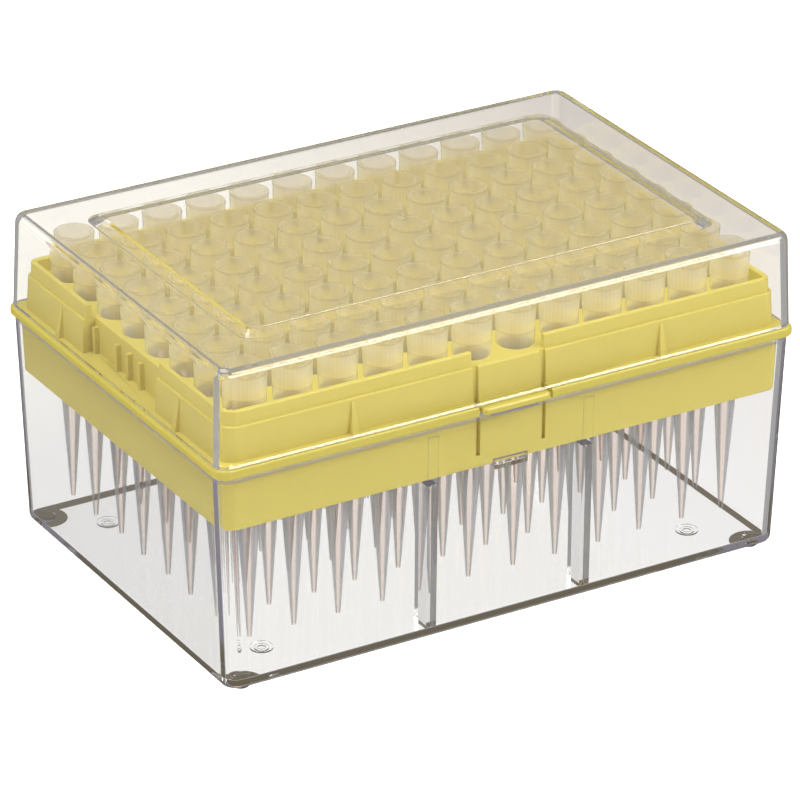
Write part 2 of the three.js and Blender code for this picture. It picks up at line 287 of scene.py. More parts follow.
direction = studio.node("ShaderNodeTexCoord", output="Generated")
sky = studio.ramp(studio.node("ShaderNodeSeparateXYZ", output=2, vector=direction), SKY_STOPS)
reflected = studio.mix(studio.ray("Is Glossy Ray"), sky_light(SOFT_LIGHT, SOFT_STRENGTH),
                       sky_light(WHITE, MIRRORED_SKY))
seen_through = studio.mix(studio.ray("Glossy Depth"), sky_light(sky, 1.0),
                          sky_light(sky, MIRRORED_WITHIN))
bent = studio.mix(studio.ray("Is Transmission Ray"), reflected, seen_through)
studio.finish(studio.mix(studio.ray("Is Camera Ray"), bent, sky_light(WHITE, 1.0)))
print("studio world with", len(SKY_STOPS), "sky tones")

# %% [markdown]
# The floor is a light table. It keeps the box's soft shadow, and through the plastic it shows
# a glow that is a little cooler close by and warmer far behind. Right under the base's edge
# and feet hardly any light gets in, so a narrow line of painted shade is drawn there, which
# the clear plastic spreads into a dark painted shade round the feet.

# %% Floor
FLOOR_HALF = 3.0
PAPER = (0.8, 0.8, 0.8, 1)
PAPER_LIFT = 0.42
MIRRORED_PAPER = 0.06
NEAR_LEFT, NEAR_RIGHT = (1.18, 1.165, 1.155, 1), (1.04, 0.99, 0.98, 1)
FAR_LEFT, FAR_RIGHT = (1.34, 1.30, 1.23, 1), (0.88, 0.80, 0.74, 1)
# painted contact shade: the tone that the floor's glow takes under the base's edge and feet
PAINTED_CONTACT_SHADE_TONE = (0.16, 0.125, 0.075, 1)
BASE_CORNER = 3.0
CONTACT_WIDTH = 1.5
FOOT_RADIUS = 1.8
FOOT_END_INSET = 4.0
FOOT_SIDE_INSET = 3.2
FOOT_SHADE_RADIUS = 4.0
FOOT_SHADE_DEPTH = 3.5
base_rim = Vector((base_high.x, base_high.y - MIDDLE_Y))
under = base_rim - BASE_LEAN
floor_mesh = bpy.data.meshes.new("floor")
corners = [(x * FLOOR_HALF, y * FLOOR_HALF, 0) for x, y in ((-1, -1), (1, -1), (1, 1), (-1, 1))]
floor_mesh.from_pydata(corners, [], [(0, 1, 2, 3)])
floor = bpy.data.objects.new("floor", floor_mesh)
bpy.context.scene.collection.objects.link(floor)
table = Finish(bpy.data.materials.new("light_table"))


def touching_shade():
    """1 where the base's edge or a foot touches the floor or nearly does, else 0."""
    reach_x = abs(table.place(0))
    reach_y = abs(table.place(1) - MIDDLE_Y * MM)
    beyond_x = larger(reach_x - (under.x - BASE_CORNER) * MM, 0.0)
    beyond_y = larger(reach_y - (under.y - BASE_CORNER) * MM, 0.0)
    beyond = beyond_x.math("SQRT", beyond_x ** 2.0 + beyond_y ** 2.0) - BASE_CORNER * MM
    at_edge = abs(beyond) < CONTACT_WIDTH * MM
    from_foot = ((reach_x - (under.x - FOOT_END_INSET) * MM) ** 2.0
                 + (reach_y - (under.y - FOOT_SIDE_INSET) * MM) ** 2.0)
    under_foot = from_foot < (FOOT_RADIUS * MM) ** 2
    round_foot = (from_foot < (FOOT_SHADE_RADIUS * MM) ** 2) * (beyond > -FOOT_SHADE_DEPTH * MM)
    return larger(larger(at_edge, under_foot), round_foot)


to_right = table.place(0) * 9 - 0.35                        # 0 to 1 across the box's width
to_back = (table.place(1) - MIDDLE_Y * MM) * 20 - 1.2       # 0 to 1 behind the box
glow_tone = table.blend(to_back, table.blend(to_right, NEAR_LEFT, NEAR_RIGHT),
                        table.blend(to_right, FAR_LEFT, FAR_RIGHT))
# painted contact shade where the base's edge and feet meet the floor
glow = table.mix(touching_shade(), table.glow(glow_tone), table.glow(PAINTED_CONTACT_SHADE_TONE))
below = table.mix(table.ray("Glossy Depth"), glow, table.glow(WHITE, MIRRORED_WITHIN))
matt = table.node("ShaderNodeBsdfDiffuse", color=PAPER)
lifted = table.node("ShaderNodeAddShader", input_0=matt, input_1=table.glow(WHITE, PAPER_LIFT))
paper = table.mix(table.ray("Is Camera Ray"), matt, lifted)
polished = table.mix(table.ray("Is Glossy Ray"), paper, table.glow(WHITE, MIRRORED_PAPER))
floor_mesh.materials.append(table.finish(table.mix(table.ray("Is Transmission Ray"), polished, below)))
print(f"light table, dark line along {under.x * 2:.1f} by {under.y * 2:.1f} mm")

# %% [markdown]
# Three large soft lamps light the colours at a plain level. The highest one would show as a
# white spot in the bent corners of the lid's panel, so the plastic doesn't let it be seen.

# %% Lamps
LAMP_AIM = Vector((0, 0, 0.03))


def lamp(name, place, size, power, tint=(1, 1, 1)):
    """A square soft lamp at a place, facing the middle of the box."""
    data = bpy.data.lights.new(name, "AREA")
    data.shape = "SQUARE"
    data.size = size
    data.energy = power
    data.color = tint
    made = bpy.data.objects.new(name, data)
    made.location = place
    made.rotation_euler = (Vector(place) - LAMP_AIM).to_track_quat("Z", "Y").to_euler()
    bpy.context.scene.collection.objects.link(made)
    return made


lamp("key_lamp", (0.65, -0.72, 0.72), 0.6, 10.6, (1, 0.99, 0.96))
top_lamp = lamp("top_lamp", (-0.3, 0.0, 1.05), 0.8, 11.2)
top_lamp.visible_transmission = False
lamp("left_lamp", (-1.0, -0.1, 0.45), 0.5, 3.0, (1, 0.99, 0.94))
print("three lamps; the top one doesn't show through the plastic")

# %% [markdown]
# A ray crosses many walls here, lid, tips and base, so the limits on bounces are high. Light
# that lenses and mirrors would gather is left out, because it is the slowest to become clean.

# %% Light paths
cycles = bpy.context.scene.cycles
cycles.max_bounces = 12
cycles.transmission_bounces = 12
cycles.glossy_bounces = 12
cycles.diffuse_bounces = 4
cycles.transparent_max_bounces = 32
cycles.caustics_refractive = False
cycles.caustics_reflective = False
cycles.use_denoising = True
cycles.use_light_tree = False
bpy.context.scene.view_settings.view_transform = "Standard"
print("rays are followed for up to", cycles.max_bounces, "bounces")

# %% [markdown]
# Injection moulding gives every edge of this object a small round, and those rounds carry all
# the highlights on clear plastic. So each shell is one profile with named edge radii, carried
# round a rounded rectangle. The profile starts in the middle of the inner face, runs down the
# wall, turns at its foot and comes back up outside, which closes the body by itself.

# %% Lofting a rounded profile
CORNER_STEPS = 8
EDGE_STEPS = 6
LEAST_CORNER = 0.05


def ring(half_x, half_y, corner, z, centre_y=MIDDLE_Y):
    """Points of one rounded rectangle, anticlockwise."""
    points = []
    for quarter, (side_x, side_y) in enumerate(((1, 1), (-1, 1), (-1, -1), (1, -1))):
        for step in range(CORNER_STEPS + 1):
            angle = (quarter + step / CORNER_STEPS) * math.pi / 2
            points.append((
                side_x * (half_x - corner) + corner * math.cos(angle),
                centre_y + side_y * (half_y - corner) + corner * math.sin(angle),
                z,
            ))
    return points


def rounded(profile, steps=EDGE_STEPS):
    """Levels of a profile whose points are (half x, half y, corner, z, edge radius)."""
    levels = []
    for index, (x, y, corner, z, edge) in enumerate(profile):
        if not edge:
            levels.append((x, y, corner, z))
            continue
        before, after = profile[index - 1], profile[index + 1]
        to_before = Vector((before[0] - x, before[3] - z)).normalized()
        to_after = Vector((after[0] - x, after[3] - z)).normalized()
        half_angle = to_before.angle(to_after) / 2
        centre = (to_before + to_after).normalized() * (edge / math.sin(half_angle))
        reach = edge / math.tan(half_angle)
        start, end = to_before * reach - centre, to_after * reach - centre
        for step in range(steps + 1):
            move = centre + start.slerp(end, step / steps).normalized() * edge
            levels.append((x + move.x, y + move.x, max(corner + move.x, LEAST_CORNER), z + move.y))
    return levels


def shrunk(size, by, corner):
    """Half size and corner of a rectangle that is smaller all round."""
    return size.x - by, size.y - by, corner


def loft(levels, centre_y=MIDDLE_Y, hollow=False):
    """A closed bmesh through rings at these levels, capped, or turned back on itself if hollow."""
    made = bmesh.new()
    rings = [[made.verts.new(point) for point in ring(x, y, corner, z, centre_y)]
             for x, y, corner, z in levels]
    count = len(rings[0])
    if hollow:
        rings.append(rings[0])
    else:
        made.faces.new(rings[0][::-1])
        made.faces.new(rings[-1])
    for lower, upper in zip(rings, rings[1:]):
        for i in range(count):
            j = (i + 1) % count
            made.faces.new((lower[i], lower[j], upper[j], upper[i]))
    bmesh.ops.recalc_face_normals(made, faces=made.faces)
    return made


print("one ring has", len(ring(1, 1, LEAST_CORNER, 0)), "points")

# %% [markdown]
# Small features are joined on, or cut out, by an exact boolean modifier, which copes with
# faces that touch. Its result is read back as a plain mesh, and points that fall together
# are merged.

# %% Booleans
MERGE_DISTANCE = 0.0005


def as_object(name, body, scale=1.0):
    """An object from a bmesh, which is freed."""
    mesh = bpy.data.meshes.new(name)
    body.to_mesh(mesh)
    body.free()
    if scale != 1.0:
        mesh.transform(Matrix.Scale(scale, 4))
    made = bpy.data.objects.new(name, mesh)
    bpy.context.scene.collection.objects.link(made)
    return made


def evaluated_mesh(thing):
    """The object's mesh with its modifiers applied."""
    bpy.context.view_layer.update()
    graph = bpy.context.evaluated_depsgraph_get()
    return bpy.data.meshes.new_from_object(thing.evaluated_get(graph), depsgraph=graph)


def taken_from(piece):
    """The evaluated mesh of an object as a bmesh; the object is removed."""
    mesh = evaluated_mesh(piece)
    bpy.data.objects.remove(piece)
    body = bmesh.new()
    body.from_mesh(mesh)
    bpy.data.meshes.remove(mesh)
    return body


def joined(bodies):
    """Several bmeshes as one."""
    whole = bmesh.new()
    for body in bodies:
        mesh = bpy.data.meshes.new("part")
        body.to_mesh(mesh)
        whole.from_mesh(mesh)
        bpy.data.meshes.remove(mesh)
        body.free()
    return whole


def combine(body, operation, tools):
    """A bmesh joined with, or cut by, others."""
    target = as_object("target", body)
    tool = as_object("tool", joined(tools))
    modifier = target.modifiers.new("boolean", "BOOLEAN")
    modifier.operation = operation
    modifier.solver = "EXACT"
    modifier.use_self = operation == "UNION"
    modifier.object = tool
    result = taken_from(target)
    bmesh.ops.remove_doubles(result, verts=result.verts, dist=MERGE_DISTANCE)
    bmesh.ops.dissolve_degenerate(result, edges=result.edges, dist=MERGE_DISTANCE)
    bpy.data.objects.remove(tool)
    return result

# %% [markdown]
# Three kinds of solid are enough for all the features: a box between two corners, an outline
# turned about an upright axis, and a bar with a section.

# %% Boxes, turned parts and bars
ROUND_SIDES = 32


def box_between(low, high):
    """A box between two corners."""
    made = bmesh.new()
    bmesh.ops.create_cube(made, size=1)
    for vert in made.verts:
        for axis in range(3):
            vert.co[axis] = high[axis] if vert.co[axis] > 0 else low[axis]
    return made


def turned(profile, sides, x=0.0, y=0.0):
    """A closed outline of (radius, z) points turned about the vertical line through x, y."""
    made = bmesh.new()
    rings = []
    for step in range(sides):
        angle = 2 * math.pi * step / sides
        rings.append([made.verts.new((x + radius * math.cos(angle), y + radius * math.sin(angle), z))
                      for radius, z in profile])
    for step, here in enumerate(rings):
        there = rings[(step + 1) % sides]
        for i in range(len(profile)):
            j = (i + 1) % len(profile)
            made.faces.new((here[i], there[i], there[j], here[j]))
    bmesh.ops.remove_doubles(made, verts=made.verts, dist=1e-5)
    bmesh.ops.recalc_face_normals(made, faces=made.faces)
    return made


def extruded(section, low, high, axis):
    """A bar with a closed section, from low to high along axis 0 or 1."""
    made = bmesh.new()
    ends = [[made.verts.new((place, a, z) if axis == 0 else (a, place, z)) for a, z in section]
            for place in (low, high)]
    for i in range(len(section)):
        j = (i + 1) % len(section)
        made.faces.new((ends[0][i], ends[0][j], ends[1][j], ends[1][i]))
    made.faces.new(ends[0][::-1])
    made.faces.new(ends[1])
    bmesh.ops.recalc_face_normals(made, faces=made.faces)
    return made

# %% [markdown]
# A boolean leaves loose coplanar triangles and sharp edges behind. On opaque plastic the first
# are dissolved, and a narrow bevel softens the second. Every piece ends the same way: smooth
# shading with normals weighted by area, so that flat faces stay flat, and metres as its unit.

# %% Finished pieces
FLAT_ANGLE = math.radians(0.5)
BEVEL_ANGLE = math.radians(40)
SHARP_ANGLE = math.radians(32)


def softened(body, width):
    """The body with its sharp edges bevelled."""
    bmesh.ops.dissolve_limit(body, angle_limit=FLAT_ANGLE, verts=body.verts, edges=body.edges)
    piece = as_object("soft", body)
    soften = piece.modifiers.new("bevel", "BEVEL")
    soften.width = width
    soften.segments = 2
    soften.limit_method = "ANGLE"
    soften.angle_limit = BEVEL_ANGLE
    soften.miter_outer = "MITER_ARC"
    return taken_from(piece)


def finished(name, body, material):
    """The piece in metres, with smooth shading that keeps flat faces flat."""
    piece = as_object(name, body)
    piece.data.polygons.foreach_set("use_smooth", [True] * len(piece.data.polygons))
    piece.data.set_sharp_from_angle(angle=SHARP_ANGLE)
    even = piece.modifiers.new("even_normals", "WEIGHTED_NORMAL")
    even.keep_sharp = True
    even.mode = "FACE_AREA"
    even.weight = 100
    even.thresh = 0
    mesh = evaluated_mesh(piece)
    piece.modifiers.clear()
    mesh.transform(Matrix.Scale(MM, 4))
    piece.data = mesh
    mesh.name = name
    mesh.materials.clear()
    mesh.materials.append(material)
    report_closed(piece)
    return piece


def report_closed(piece):
    """Print how many faces a piece has and whether its surface is closed."""
    check = bmesh.new()
    check.from_mesh(piece.data)
    open_edges = sum(1 for edge in check.edges if not edge.is_manifold)
    triangles = sum(len(face.verts) - 2 for face in check.faces)
    print(f"{piece.name}: {triangles} triangles, {open_edges} open edges, "
          f"volume {check.calc_volume() / MM ** 3:.0f} mm3")
    check.free()

# %% [markdown]
# Lid and base are clear polystyrene. Real thickness matters: light that enters an edge travels
# a long way inside the wall and comes out darker, so the material is true refraction, and a
# ray that has bounced too often inside stops at a painted glow, a tone of painted light and
# shade set by its height, darkest brown near the floor. A faint painted line of that glow runs
# round at the base's rim height. Lamps and scattered light pass straight through, because they
# have to reach the rack inside. The base's stiffening ribs are the same plastic, with a little
# smoke in their thickness.

# %% Clear plastic
TRAPPED_DEPTH = 7
# Painted light and shade: emission tones by height for rays that bounced too often inside the walls
PAINTED_TRAPPED_LIGHT = [
    (0.0, (0.115, 0.09, 0.055, 1)), (0.05, (0.16, 0.14, 0.105, 1)), (0.09, (0.23, 0.215, 0.25, 1)),
    (0.64, (0.27, 0.25, 0.29, 1)), (0.72, (0.46, 0.44, 0.42, 1)), (0.94, (0.40, 0.385, 0.36, 1)),
    (0.955, (0.30, 0.28, 0.25, 1)), (0.982, (0.30, 0.28, 0.25, 1)), (0.99, (0.52, 0.48, 0.36, 1)),
]
# A painted line: a band at the base's rim height takes part of the painted glow
PAINTED_RIM_LINE_WIDTH = 1.0
PAINTED_RIM_LINE_STRENGTH = 0.45
CLEAR_TONE = (0.985, 0.985, 0.98, 1)
CLEAR_SHADE = (0.97, 0.97, 0.97, 1)
RIB_SMOKE_TONE = (0.30, 0.30, 0.36, 1)
RIB_SMOKE = 40.0


def clear_plastic(name="clear_polystyrene", smoke=0.0):
    made = Finish(bpy.data.materials.new(name))
    haze = made.noise(scale=900, detail=2)
    scuff = made.noise(scale=60, detail=4)
    ripple = made.node("ShaderNodeBump", height=scuff, strength=0.02, distance=0.0004)
    body = made.node("ShaderNodeBsdfPrincipled", base_color=CLEAR_TONE, roughness=haze * 0.03 + 0.005,
                     ior=1.58, transmission_weight=1.0, normal=ripple)
    height = made.place(2)
    # painted glow: emission whose tone is chosen by height, standing in for light and shade in the wall
    painted_trapped_light = made.glow(made.ramp(height * (1 / (lid_high.z * MM)), PAINTED_TRAPPED_LIGHT))
    # painted line of light and shade round the rim's height
    painted_rim_line = abs(height - (BASE_TOP - PAINTED_RIM_LINE_WIDTH / 2) * MM) < PAINTED_RIM_LINE_WIDTH / 2 * MM
    painted_glow_share = larger(made.ray("Ray Depth") > TRAPPED_DEPTH, painted_rim_line * PAINTED_RIM_LINE_STRENGTH)
    surface = made.let_light_through(made.mix(painted_glow_share, body, painted_trapped_light), CLEAR_SHADE)
    if not smoke:
        return made.finish(surface)
    inner = made.node("ShaderNodeVolumeAbsorption", color=RIB_SMOKE_TONE, density=smoke)
    return made.finish(surface, inner)


clear = clear_plastic()
smoky = clear_plastic("clear_polystyrene_ribs", RIB_SMOKE)
print("clear plastics:", clear.name, smoky.name)

# %% [markdown]
# The rack is soft yellow polypropylene with a fine moulded grain. Thin walls let some light
# through, so a translucent part is mixed in. The flange is pinched between lid and base and
# gets less light, so painted shade makes its tone a shade deeper.

# %% Yellow rack plastic
RACK_TONES = (0.71, 0.61, 0.145, 1), (0.75, 0.65, 0.16, 1)
FLANGE_PAINTED_SHADE_TONE = (0.50, 0.44, 0.085, 1)
FLANGE_PAINTED_SHADE_SHARE = 0.7
RACK_GLOW = (0.88, 0.71, 0.10, 1)
RACK_GLOW_SHARE = 0.24


def rack_plastic():
    made = Finish(bpy.data.materials.new("yellow_polypropylene"))
    grain = made.noise(scale=1400, detail=2)
    tone = made.blend(made.noise(scale=35, detail=3), *RACK_TONES)
    # painted shade: the flange's height band is given a deeper tone because less light reaches it
    in_flange = abs(made.place(2) - (BASE_TOP + FLANGE_TOP) / 2 * MM) < (FLANGE_TOP - BASE_TOP) / 2 * MM
    tone = made.blend(in_flange * FLANGE_PAINTED_SHADE_SHARE, tone, FLANGE_PAINTED_SHADE_TONE)
    skin = made.node("ShaderNodeBump", height=grain, strength=0.05, distance=0.0001)
    body = made.node("ShaderNodeBsdfPrincipled", base_color=tone, roughness=grain * 0.08 + 0.27,
                     ior=1.49, normal=skin)
    through = made.node("ShaderNodeBsdfTranslucent", color=RACK_GLOW)
    return made.finish(made.mix(RACK_GLOW_SHARE, body, through))


yellow = rack_plastic()
print("rack plastic:", yellow.name)

# %% [markdown]
# A tip is milky, thin plastic. Refraction through ninety-six of them would cost much and show
# little, so each wall is a skin that covers more where it is seen at a slant. A UV map tells
# how far round and how far up a point lies. From it come the collar's fine ribs, the amber
# band at its foot, which also shines with a painted glow, its darker mouth and the streaks on
# the long cone.

# %% Tip plastic
COLLAR_RIBS = 30
INSIDE_MARK = 5.0      # added twice to the UV height of faces inside the bore
BODY_COVER = [(0.0, 0.04), (0.152, 0.05), (0.182, 0.62), (0.22, 0.64), (0.275, 0.58), (0.36, 0.46),
              (0.48, 0.56), (0.66, 0.6), (0.85, 0.66), (1.0, 0.85)]
COLLAR_COVER = [(0.10, 0.36), (0.30, 0.38), (0.60, 0.48), (0.85, 0.7), (1.0, 0.9)]
# painted glow: emission colours along the collar, lighting its amber band at the foot
COLLAR_PAINTED_GLOW = [(0.38, 0.0), (0.44, (0.9, 0.72, 0.36, 1)), (0.8, 0.0)]
COLLAR_TONES = [
    (0.0, (0.90, 0.84, 0.58, 1)), (0.36, (0.90, 0.84, 0.58, 1)), (0.40, (0.62, 0.53, 0.28, 1)),
    (0.44, (0.95, 0.82, 0.38, 1)), (0.60, (0.96, 0.86, 0.48, 1)), (0.76, (0.96, 0.92, 0.68, 1)),
    (0.92, (0.88, 0.84, 0.62, 1)), (0.96, (0.48, 0.44, 0.24, 1)), (1.0, (0.46, 0.42, 0.22, 1)),
]
BORE_TONE = (0.92, 0.84, 0.62, 1)
SLANT_TONE = (0.32, 0.28, 0.12, 1)
CONE_TONE = (0.34, 0.36, 0.42, 1)
BLACK = (0, 0, 0, 1)
TIP_GLOW = (0.95, 0.92, 0.62, 1)
TIP_CLEAR = (0.975, 0.945, 0.925, 1)
TIP_SHADE = (0.985, 0.98, 0.96, 1)


def tip_plastic():
    """Frosted skin that is densest where it is seen at a slant."""
    made = Finish(bpy.data.materials.new("frosted_polypropylene"))
    spot = made.node("ShaderNodeUVMap", settings={"uv_map": "around_and_along"})
    around = made.node("ShaderNodeSeparateXYZ", output=0, vector=spot)
    along = made.node("ShaderNodeSeparateXYZ", output=1, vector=spot)
    inside = along > INSIDE_MARK
    height = along - inside * (2 * INSIDE_MARK)
    collar = height > 0.0
    edge = made.node("ShaderNodeLayerWeight", output="Facing", blend=0.5)
    slimming = larger(height * -2.0 - 1.0, 0.0)
    ribs = around * (2 * math.pi * COLLAR_RIBS)
    ribs = ribs.math("SINE", ribs)
    streak_place = made.node("ShaderNodeCombineXYZ", x=around * 40, y=height * 3, z=0.0)
    streaks = made.node("ShaderNodeTexNoise", vector=streak_place, scale=1.0, detail=3.0) - 0.5
    body_cover = made.ramp(edge - slimming * 0.06, BODY_COVER) * (1 - inside * 0.9)
    body_cover = body_cover + streaks * 0.25 * (1 - inside)
    collar_cover = made.ramp(edge, COLLAR_COVER) * (1 - inside * 0.35) + ribs * 0.01
    cover = body_cover + (collar_cover - body_cover) * collar
    rise = height * (BODY_LENGTH / COLLAR_HEIGHT)
    collar_tone = made.blend(inside, made.ramp(rise, COLLAR_TONES), BORE_TONE)
    tone = made.blend(collar, CONE_TONE, made.blend(edge ** 2.0, collar_tone, SLANT_TONE))
    # painted glow on the collar's amber band
    painted_glow = made.blend(collar, BLACK, made.ramp(rise, COLLAR_PAINTED_GLOW))
    skin = made.node("ShaderNodeBump", height=ribs, strength=0.03, distance=0.0001)
    gloss = made.node("ShaderNodeBsdfPrincipled", base_color=tone, roughness=0.3, ior=1.49,
                      normal=skin, emission_color=painted_glow, emission_strength=0.25)
    milky = made.node("ShaderNodeBsdfTranslucent", color=TIP_GLOW)
    frost = made.mix((collar * 0.42 + 0.08) * (1 - edge ** 3.0), gloss, milky)
    wall = made.mix(cover, made.node("ShaderNodeBsdfTransparent", color=TIP_CLEAR), frost)
    return made.finish(made.let_light_through(wall, TIP_SHADE))


frosted = tip_plastic()
print("tip plastic:", frosted.name)

# %% [markdown]
# The lid is a plain box with slightly leaning walls and a raised panel in its roof. The panel
# is raised inside as well, so the roof keeps its thickness.

# %% Lid
LID_WALL = 1.4
LID_ROOF = 1.4
LID_DRAFT = 0.6
LID_CORNER = 2.6
LID_EDGE = 1.8
LID_INNER_EDGE = 0.7
LID_FOOT_EDGE = 0.05
LID_GROUND_FOOT = 0.14
LID_GROUND_DEPTH = 0.3
PANEL_HEIGHT = 0.9
PANEL_END_INSET = 9.7
PANEL_SIDE_INSET = 9.3
PANEL_SLOPE = 1.9
PANEL_CORNER = 3.0
PANEL_EDGE = 0.35
PANEL_MARGIN = 4.0
PANEL_INNER_INSET = 1.2
GATE_MARK_RADIUS = 0.9
GATE_MARK_DEPTH = 0.2

lid_foot = Vector((lid_high.x, lid_high.y - MIDDLE_Y))
lid_head = lid_foot - Vector((LID_DRAFT, LID_DRAFT))
lid_inside = lid_foot - Vector((LID_WALL, LID_WALL))
panel = lid_head - Vector((PANEL_END_INSET, PANEL_SIDE_INSET))
LID_TOP = lid_high.z - PANEL_HEIGHT


def lid_profile():
    foot, ceiling = FLANGE_TOP + LID_GROUND_FOOT, LID_TOP - LID_ROOF
    raised = ceiling + PANEL_HEIGHT
    inner_corner = LID_CORNER - LID_WALL
    top_corner = PANEL_CORNER - PANEL_SLOPE
    middle = shrunk(panel, PANEL_SLOPE + PANEL_MARGIN, PANEL_CORNER)
    return [
        (*middle, raised, 0),
        (*shrunk(panel, PANEL_SLOPE + PANEL_INNER_INSET, top_corner), raised, PANEL_EDGE),
        (*shrunk(panel, PANEL_INNER_INSET, PANEL_CORNER), ceiling, PANEL_EDGE),
        (*shrunk(lid_head, LID_WALL, inner_corner), ceiling, LID_INNER_EDGE),
        (*shrunk(lid_inside, 0, inner_corner), foot, 0),
        (*shrunk(lid_foot, 0, LID_CORNER), foot, 0),
        (*shrunk(lid_head, 0, LID_CORNER), LID_TOP, LID_EDGE),
        (*shrunk(panel, 0, PANEL_CORNER), LID_TOP, PANEL_EDGE),
        (*shrunk(panel, PANEL_SLOPE, top_corner), LID_TOP + PANEL_HEIGHT, PANEL_EDGE),
        (*middle, LID_TOP + PANEL_HEIGHT, 0),
    ]


def gate_mark():
    """The round dimple in the middle of the roof, where the mould was filled."""
    low, high = lid_high.z - GATE_MARK_DEPTH, lid_high.z + PANEL_HEIGHT
    outline = [(0, low), (GATE_MARK_RADIUS, low), (GATE_MARK_RADIUS, high), (0, high)]
    return turned(outline, ROUND_SIDES, 0, MIDDLE_Y)


lid_body = combine(loft(rounded(lid_profile())), "DIFFERENCE", [gate_mark()])
lid_piece = finished("lid_shell", lid_body, clear)
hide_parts("lid")
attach(lid_piece, "lid")

# %% [markdown]
# The lid's foot is a cut edge, which is matt and pale. It is a thin band of its own below the
# clear wall, so that it can have a finish of its own.

# %% Lid's ground foot
GROUND_TONES = (0.46, 0.43, 0.33, 1), (0.54, 0.51, 0.40, 1)


def ground_plastic():
    """The matt white that a cut or ground edge of clear plastic shows."""
    made = Finish(bpy.data.materials.new("ground_polystyrene"))
    grain = made.noise(scale=2500, detail=2)
    tone = made.blend(grain, *GROUND_TONES)
    return made.finish(made.node(
        "ShaderNodeBsdfPrincipled", base_color=tone, roughness=grain * 0.2 + 0.4, ior=1.5))


def ground_foot_profile():
    """The band round the lid's foot."""
    low, high = FLANGE_TOP, FLANGE_TOP + LID_GROUND_FOOT - SEAT_GAP
    outer = (lid_foot.x, lid_foot.y, LID_CORNER)
    inner = tuple(value - LID_GROUND_DEPTH for value in outer)
    return [(*inner, low, LID_FOOT_EDGE), (*outer, low, LID_FOOT_EDGE),
            (*outer, high, 0), (*inner, high, 0)]


foot_band = loft(rounded(ground_foot_profile(), steps=2), hollow=True)
ground_foot = finished("lid_ground_foot", foot_band, ground_plastic())
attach(ground_foot, "lid")

# %% [markdown]
# The base is a deep tray, lofted like the lid. Its walls lean outwards a little towards the
# rim, so that the moulding can leave its tool.

# %% Base shell
BASE_WALL = 1.6
BASE_FLOOR = 1.5
BASE_EDGE = 1.4
BASE_INNER_EDGE = 0.3
BASE_RIM_EDGE = 0.6
FEET_HEIGHT = 0.8
BASE_MARGIN = 4.0
base_height = BASE_TOP - FEET_HEIGHT
FLOOR_TOP = FEET_HEIGHT + BASE_FLOOR


def base_inside(z):
    """Half size of the base's inside at a height."""
    return base_rim - Vector((BASE_WALL, BASE_WALL)) - BASE_LEAN * ((BASE_TOP - z) / base_height)


def base_profile():
    inner_corner = BASE_CORNER - BASE_WALL
    floor_size = base_inside(FLOOR_TOP)
    rim_size = base_inside(BASE_TOP)
    low = FEET_HEIGHT
    return [
        (floor_size.x - BASE_MARGIN, floor_size.y - BASE_MARGIN, inner_corner, FLOOR_TOP, 0),
        (floor_size.x, floor_size.y, inner_corner, FLOOR_TOP, BASE_INNER_EDGE),
        (rim_size.x, rim_size.y, inner_corner, base_high.z, BASE_RIM_EDGE),
        (base_rim.x, base_rim.y, BASE_CORNER, base_high.z, BASE_RIM_EDGE),
        (under.x, under.y, BASE_CORNER, low, BASE_EDGE),
        (under.x - BASE_MARGIN, under.y - BASE_MARGIN, BASE_CORNER, low, 0),
    ]


base_body = loft(rounded(base_profile()))
print("base shell:", len(base_body.faces), "faces")

# %% [markdown]
# Two solid ribs stiffen each long wall, and each goes on up the wall as a band that hardly
# stands out. The ribs stay pieces of their own, with smoke in their thickness.

# %% Stiffening ribs and bands
SKIRT_DEPTH = 10.8
SKIRT_BOTTOM = BASE_TOP - SKIRT_DEPTH
STIFFENER_OFFSET = 16.0
STIFFENER_WIDTH = 2.1
STIFFENER_DEPTH = 4.3
STIFFENER_DROP = 1.1
BAND_RISE = 0.15
BAND_TOP_DROP = 2.4
ROOT = 0.3      # how far a joined feature reaches into what carries it


def on_long_walls(outline):
    """Four bars, two on each long wall, from an outline of (distance from the middle, z)."""
    half = STIFFENER_WIDTH / 2
    return [extruded([(MIDDLE_Y + side * y, z) for y, z in outline], x - half, x + half, 0)
            for side in (-1, 1) for x in (-STIFFENER_OFFSET, STIFFENER_OFFSET)]


def stiffeners():
    """The four ribs, just clear of the tray so that each stays a solid of its own."""
    low = FLOOR_TOP + SEAT_GAP
    top = SKIRT_BOTTOM - STIFFENER_DROP
    wall = base_inside(top).y - SEAT_GAP
    foot = base_inside(low).y - SEAT_GAP
    return joined(on_long_walls([
        (wall - STIFFENER_DEPTH, low), (foot - BASE_INNER_EDGE / 2, low),
        (foot, low + BASE_INNER_EDGE), (wall, top), (wall - STIFFENER_DEPTH, top)]))


def wall_bands():
    """What goes on up the wall above each rib."""
    low, high = SKIRT_BOTTOM - STIFFENER_DROP - ROOT, BASE_TOP - BAND_TOP_DROP
    wall_low, wall_high = base_inside(low).y, base_inside(high).y
    return on_long_walls([(wall_low - BAND_RISE, low), (wall_low + ROOT, low),
                          (wall_high + ROOT, high), (wall_high - BAND_RISE, high)])


ribs_body = stiffeners()
print("stiffening ribs:", len(ribs_body.faces), "faces")

# %% [markdown]
# A bump in the middle of the front wall holds the latch's tongue, and a shallow notch is cut
# in the rim above it. Four small feet carry the box, and the four rings under the floor are
# what the moulding gates leave.

# %% Catch, feet, gate rings and notch
CATCH_WIDTH = 6.9
CATCH_DEPTH = 0.65
CATCH_HEIGHT = 2.2
CATCH_RISE = 0.7


